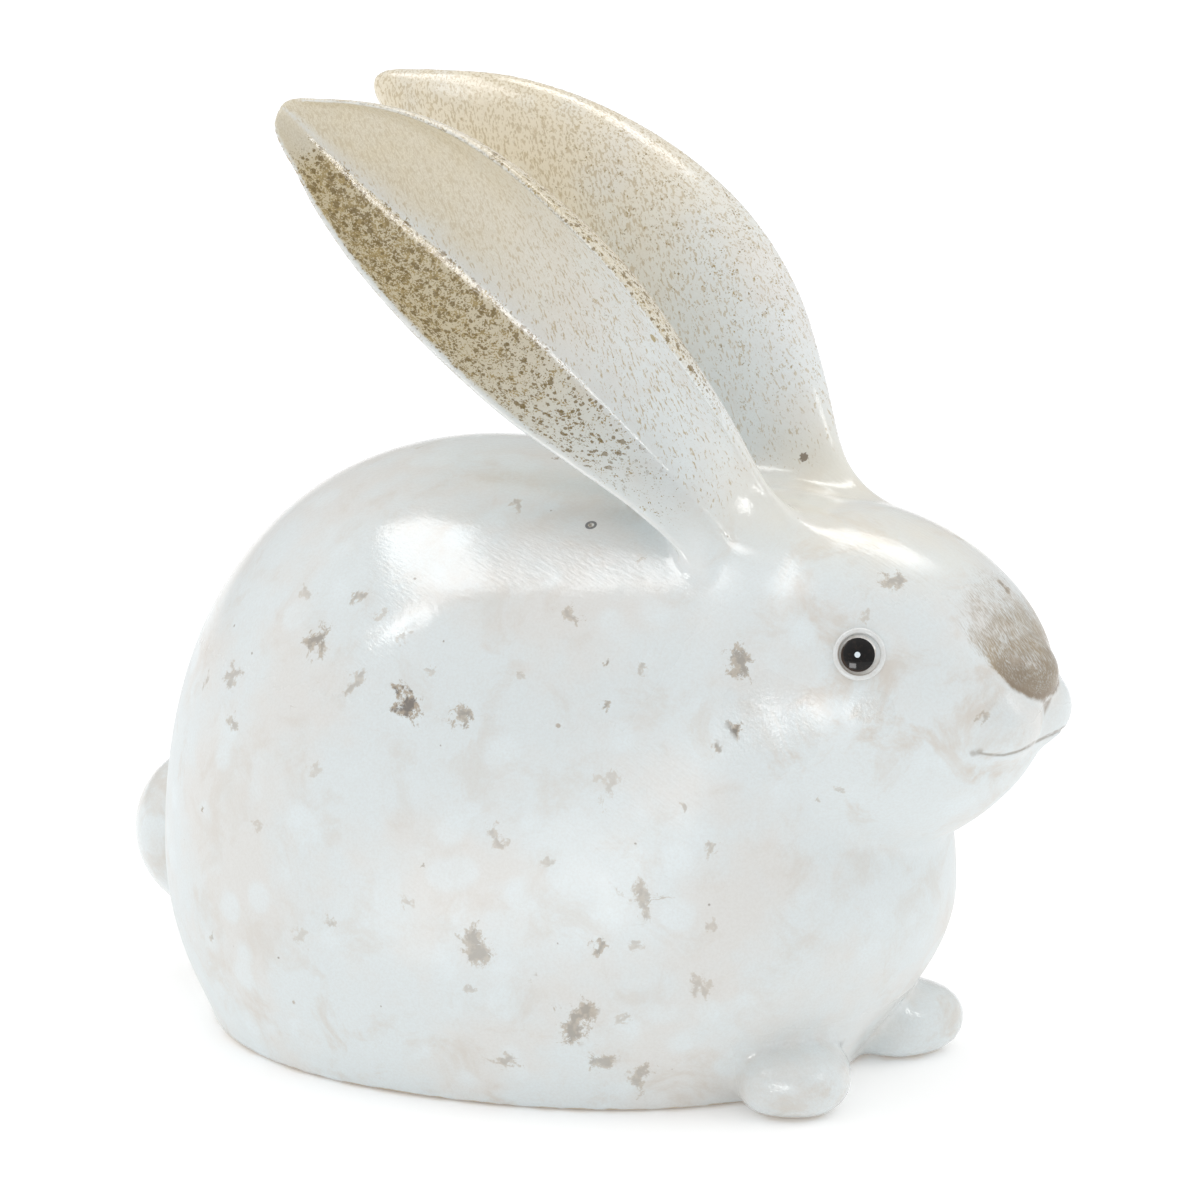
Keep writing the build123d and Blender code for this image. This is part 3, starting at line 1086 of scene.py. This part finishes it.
def splash_coat(s):
    """The iron splashes: bent discs whose edges run out in spikes. Gives back where they lie."""
    splash = s.value("splash", "Vector")
    across, up, number = s.parts(splash)
    shift = s.parts(s.noise(0.9, 1.5, place=splash, output="Color"))
    across = across + shift[0].between(0.25, 0.75, -0.75, 0.75, smooth=False)
    up = up + shift[1].between(0.25, 0.75, -0.75, 0.75, smooth=False)
    reach = (across * across + up * up).math("SQRT")
    safe = reach.math("MAXIMUM", 0.001)
    around = s.node("CombineXYZ", {
        0: across.math("DIVIDE", safe) * 1.5, 1: up.math("DIVIDE", safe) * 1.5, 2: number})
    edge = s.noise(2.0, 6, 0.86, place=around).between(0.34, 0.68, 0.42, 1.2, smooth=False)
    ragged = reach + s.wavering(-0.3, 0.3, 750, 4, 0.75)
    inside = (edge - ragged).between(-0.05, 0.28) * s.value("splash_near")
    pale = s.value("splash_pale")
    core = (reach + s.wavering(-0.35, 0.35, 600, 3)).between(0.72, 0.15)
    tone = s.mix(core, s.mix(pale, *splash_rims), s.mix(pale, *splash_cores))
    s.coat(inside * pale.between(0, 1, 0.86, 0.34), tone)
    return inside


def face_coats(s):
    """The brushed stain of the nose, the ringed dot on the back and the lines in the face's creases."""
    stain = s.value("stain")
    brush = s.noise(3000, 3, 0.6, place=s.stretched(nose_turn, 7, 1, 1))
    worn = stain + brush.between(0.32, 0.68, -0.30, 0.30) + s.wavering(-0.16, 0.16, 150, 4, 0.6)
    worn = worn.between(0.0, 1.15) * stain.between(0.0, 0.22)
    tone = s.mix(stain.between(0.82, 1.04, 0, 0.4), s.mix(s.noise(230, 4), *nose_tones), nose_deep)
    s.coat(worn * 0.9, tone)
    ringed = (s.distance(ringed_dot) - 0.0012).math("ABSOLUTE")
    s.coat(ringed.between(0.0005, 0.00025, 0, 0.85), dot_ring)
    s.coat(s.value("crease") * s.noise(520, 3).between(0.3, 0.6, 0.35, 1) * 0.8, crease_brown)


def glaze(name, ear=False):
    """The whole glaze of the body or of an ear, with its gloss and its fine relief, and the bare foot."""
    s = Shader(name)
    white_coats(s)
    cream = s.value("cream") * s.noise(60, 4).between(0.3, 0.6, 0.6, 1)
    if ear:
        ear_coats(s, cream)
    else:
        s.coat(cream, head_tint)
    inside = splash_coat(s)
    if not ear:
        face_coats(s)
    bare = (s.parts(s.place)[2] + s.wavering(-0.0005, 0.0005, 160, 3)).between(0.0012, 0.0005)
    s.coat(bare, s.mix(s.noise(300, 4, 0.7), *foot_tones))
    s.set("IOR", 1.5)
    waves = s.bump(s.noise(55), 0.0006, 0.3)
    brushed = s.bump(s.noise(1100, 3, 0.6, place=s.stretched(brush_turn, 9, 1, 1)), 0.00012, 0.5, waves)
    crackle = s.value("crackle").between(0, 1, 0.35, 3.0)
    s.set("Normal", s.bump(s.noise(1050, 3, 0.65) * crackle, 0.00005, 1, brushed))
    dull = bare.math("MAXIMUM", inside * 0.25)
    roughness = s.wavering(0.05, 0.12, 140, 4, 0.6) + dull * 0.6
    return s.finished(roughness.math("ADD", s.value("matt"), use_clamp=True))


def bare_clay():
    s = Shader("bisque")
    s.colour = s.mix(s.noise(260, 4, 0.7), *bisque_tones)
    s.set("Normal", s.bump(s.noise(900, 4), 0.0002, 0.6))
    return s.finished(s.wavering(0.75, 0.95, 500, 3))


glazes = {"body_glaze": glaze("body_glaze_mottled"), "ear_glaze": glaze("ear_glaze_specked", ear=True)}
bisque = bare_clay()


def dress(made, node, slot="body_glaze", block=body, field=whole, mirror=False):
    """Gives a piece normals from its field, the glaze's fields and materials, and puts it in the frame."""
    points = points_of(made)
    seen = on_left(points, mirror)
    normals = on_left(block.normals_at(field, seen), mirror)
    outer = np.abs(block.at(field, seen)) < skin_near
    if made is skin:
        share = face_share(points)
        outer |= (share > 0) & (np.abs(face.at(face_field, points)) < skin_near)
        normals = normals * (1 - share[:, None]) + face.normals_at(face_field, points) * share[:, None]
        normals /= np.maximum(np.linalg.norm(normals, axis=1, keepdims=True), 1e-6)
    normals[~outer] = 0
    faces = made.data.polygons
    faces.foreach_set("use_smooth", [True] * len(faces))
    made.data.normals_split_custom_set_from_vertices(normals.tolist())
    made.data.materials.clear()
    made.data.materials.append(glazes[slot])
    made.data.materials.append(bisque)
    glazed = outer.tolist()
    faces.foreach_set("material_index", [int(not any(glazed[v] for v in each.vertices)) for each in faces])
    fields = ear_fields(points, mirror) if slot == "ear_glaze" else body_fields(points)
    for title, values in {**splash_fields(points), **fields}.items():
        kind, part = ("FLOAT", "value") if values.ndim == 1 else ("FLOAT_VECTOR", "vector")
        attribute = made.data.attributes.new(title, kind, "POINT")
        attribute.data.foreach_set(part, values.astype(np.float32).ravel())
    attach(made, "root")
    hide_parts(node)


dress(skin, "body_casting")
dress(tail, "tail")
dress(paws["left"], "left_front_paw")
dress(paws["right"], "right_front_paw")
dress(left_ear, "left_ear", "ear_glaze", ear_block, ear_whole)
dress(right_ear, "right_ear", "ear_glaze", ear_block, ear_whole, mirror=True)

# Eyes

eye_centre = tuple((low + high) / 2 for low, high in zip(*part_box("left_eye_ring")))


def from_eye(s):
    """Each point's distance from the middle of its eye, and how far it lies to the eye's back and foot."""
    x, y, z = s.parts(s.place)
    sides = [part - middle for part, middle in zip((x, y.math("ABSOLUTE"), z), eye_centre)]
    squares = [side * side for side in sides]
    return (squares[0] + squares[1] + squares[2]).math("SQRT"), sides[0] + sides[2]


def eye_clay(name, noise, spots, tones, groove, groove_shares, roughness_shares):
    """Mottled eye clay, with brown rubbed into the groove between the ring and the eyeball."""
    s = Shader(name)
    reach, ahead = from_eye(s)
    s.colour = s.mix(s.noise(*noise).between(*spots), *tones)
    s.coat(reach.between(*groove) * ahead.between(0.003, -0.004, *groove_shares), eye_groove)
    return s.finished(s.wavering(*roughness_shares, 400))


def pupil_drop():
    s = Shader("black_enamel_drop")
    s.colour = s.mix(s.noise(900, 3).between(0.5, 0.7), *pupil_tones)
    s.coat(from_eye(s)[0].between(0.0040, 0.0047, 0, 0.7), pupil_rim)
    s.set("Specular IOR Level", 0.3)
    return s.finished(s.wavering(0.05, 0.1, 600))


def enamel_dot():
    s = Shader("white_enamel_dot")
    s.colour = s.mix(s.noise(1500), *dot_tones)
    return s.finished(s.wavering(0.15, 0.25, 900))


eye_materials = {
    "eye_ring": eye_clay(
        "eye_ring_glaze", (700, 4, 0.7, 0.5), (0.42, 0.68, 0, 0.35), eye_ring_tones,
        (0.0059, 0.0054), (0.15, 0.8), (0.12, 0.22)),
    "eyeball": eye_clay(
        "eyeball_glaze", (620, 4, 0.7), (0.4, 0.7), eyeball_tones,
        (0.0053, 0.0057), (0.1, 0.8), (0.1, 0.2)),
    "pupil": pupil_drop(),
    "eye_highlight": enamel_dot(),
}
for kind, material in eye_materials.items():
    for side in ("left", "right"):
        piece = nodes[side + "_" + kind]
        piece.data.materials.clear()
        piece.data.materials.append(material)

# Floor, light and camera

floor_reach = 8
floor_corners = [(x * floor_reach, y * floor_reach, 0) for x, y in ((-1, -1), (1, -1), (1, 1), (-1, 1))]
floor_mesh = bpy.data.meshes.new("floor")
floor_mesh.from_pydata(floor_corners, [], [(0, 1, 2, 3)])
floor = placed("floor", floor_mesh)
paper = Shader("studio_paper")
paper.colour = (0.93, 0.93, 0.93)
paper.set("Specular IOR Level", 0.0)
paper.set("Emission Color", (1.0, 1.0, 1.0))
paper.set("Emission Strength", 0.2)
floor_mesh.materials.append(paper.finished(0.9))

# The studio's walls: bright all round, dimmer on the camera's side and behind the rabbit
front_way = (0.49, -0.85, 0.17)
world = bpy.data.worlds.new("studio")
bpy.context.scene.world = world
world.use_nodes = True
studio = Nodes(world.node_tree, "Generated")
facing = studio.node("VectorMath", {0: studio.place, 1: front_way}, "Value", operation="DOT_PRODUCT")
ahead = facing.between(0.2, 1.0, 1.12, 0.65)
behind = facing.between(-0.15, -0.9, 1.12, 0.62)
sky = world.node_tree.nodes["Background"]
studio.link((1, 1, 1), sky.inputs["Color"])
studio.link(ahead.math("MINIMUM", behind), sky.inputs["Strength"])


def softbox(name, turn, rise, distance, size, glow, gloss_only=True):
    """A studio lamp that looks at the figurine's middle: where it stands, its size and its glow."""
    lamp = bpy.data.lights.new(name, "AREA")
    lamp.shape = "RECTANGLE"
    lamp.size, lamp.size_y = size
    lamp.energy = glow * math.pi * size[0] * size[1]
    made = placed(name, lamp)
    turn, rise = math.radians(turn), math.radians(rise)
    away = Vector((math.sin(turn) * math.cos(rise), -math.cos(turn) * math.cos(rise), math.sin(rise)))
    made.location = Vector(lit_middle) + away * distance
    made.rotation_euler = away.to_track_quat("Z", "Y").to_euler()
    made.visible_diffuse = not gloss_only
    made.visible_glossy = gloss_only
    made.visible_camera = False
    return made


def shines_on(lamp, *pieces):
    """Keeps a small lamp's gleam off the other pieces, whose edges it would burn out in other views."""
    lit = bpy.data.collections.new(lamp.name + "_pieces")
    for piece in pieces:
        lit.objects.link(piece)
    lamp.light_linking.receiver_collection = lit


# Six boxes of which only the gleam shows, then two that light: turn and rise in degrees, distance, size, glow
softbox("back_box", -67, 61, 1.4, (0.84, 0.42), 5.4)
softbox("head_box", -174, 66, 1.4, (0.84, 0.38), 5.4)
softbox("low_box", 19, -9, 0.4, (0.13, 0.09), 9.0)
shines_on(softbox("valley_box", -11.4, 13.8, 1.0, (0.24, 0.28), 10.0), left_ear, right_ear)
softbox("ear_box", -36, 43, 1.4, (0.10, 0.36), 8.0)
softbox("front_box", 92, 33, 1.2, (0.16, 0.2), 9.0)
softbox("key", -70, 50, 1.6, (1.2, 1.2), 0.42, gloss_only=False)
softbox("fill", 110, 50, 1.6, (1.0, 1.0), 0.5, gloss_only=False)

# A card that lies on the floor in front of the rabbit and shines in its cheek and lip
card = softbox("cheek_box", -22, -24, 0.27, (0.11, 0.10), 9.0)
card.location = (-0.045, -0.27, 0.004)
card.rotation_euler = (math.pi, 0, 0)
shines_on(card, skin)

lens = bpy.data.cameras.new("camera")
lens.lens = photo_focal / photo_size * sensor_width
lens.sensor_width = sensor_width
lens.clip_start = 0.05
lens.clip_end = 50
camera = placed("camera", lens)
camera.location = camera_place * MM
camera.rotation_euler = Vector(-to_camera).to_track_quat("-Z", "Y").to_euler()
bpy.context.scene.camera = camera
bpy.context.scene.view_settings.view_transform = "Standard"
